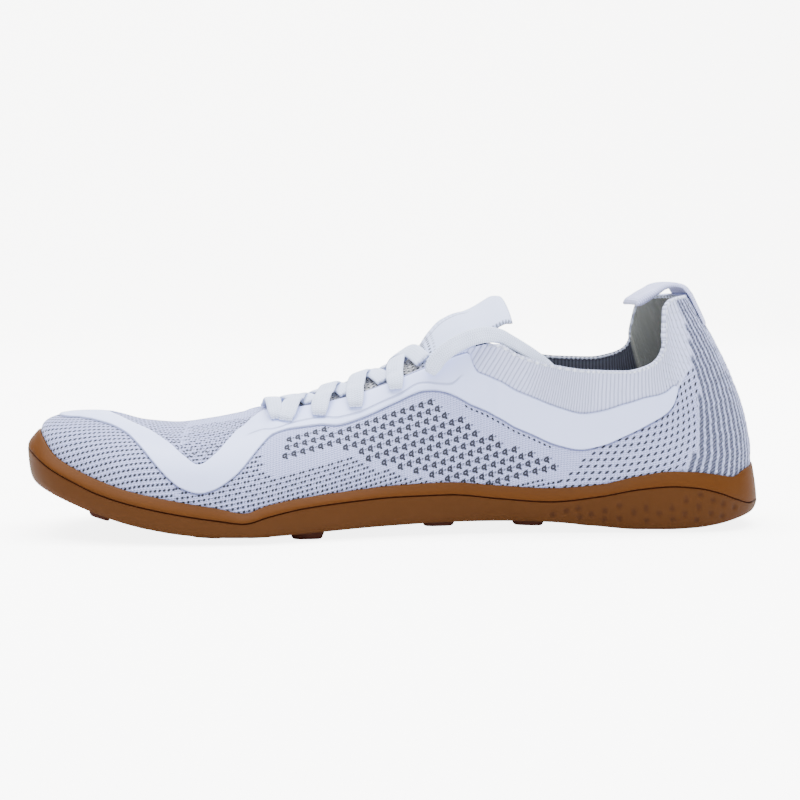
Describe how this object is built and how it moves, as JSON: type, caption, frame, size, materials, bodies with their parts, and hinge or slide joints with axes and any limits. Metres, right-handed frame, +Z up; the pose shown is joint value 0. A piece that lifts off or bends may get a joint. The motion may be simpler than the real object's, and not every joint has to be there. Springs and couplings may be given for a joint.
{
  "type": "barefoot shoe",
  "caption": "Low knitted barefoot shoe for a right foot: sock-like white upper with ribbed collar, fused overlay strip, flat laces, heel pull tab and thin gum rubber cup sole with low lugs.",
  "frame": {"origin": "on the floor, at the middle lug under the heel, 35 mm in front of the heel's back", "axes": "+Z up, toe towards -X, inner (medial) side of the foot towards -Y"},
  "size_m": [0.2848, 0.0997, 0.0952],
  "materials": {
    "gum_rubber": "matt gum rubber",
    "insole_foam": "fabric faced foam",
    "white_knit": "engineered knit",
    "white_film": "smooth fused film",
    "tongue_knit": "fine knit",
    "tab_webbing": "woven webbing",
    "lace_cotton": "flat woven lace"
  },
  "bodies": {
    "root": {"outsole": "gum_rubber", "insole": "insole_foam", "upper": "white_knit", "overlay_film": "white_film", "tongue": "tongue_knit", "heel_pull_tab": "tab_webbing", "lace_cross_1": "lace_cotton", "lace_cross_2": "lace_cotton", "lace_cross_3": "lace_cotton", "lace_cross_4": "lace_cotton", "lace_end_inner": "lace_cotton"}
  },
  "joints": []
}
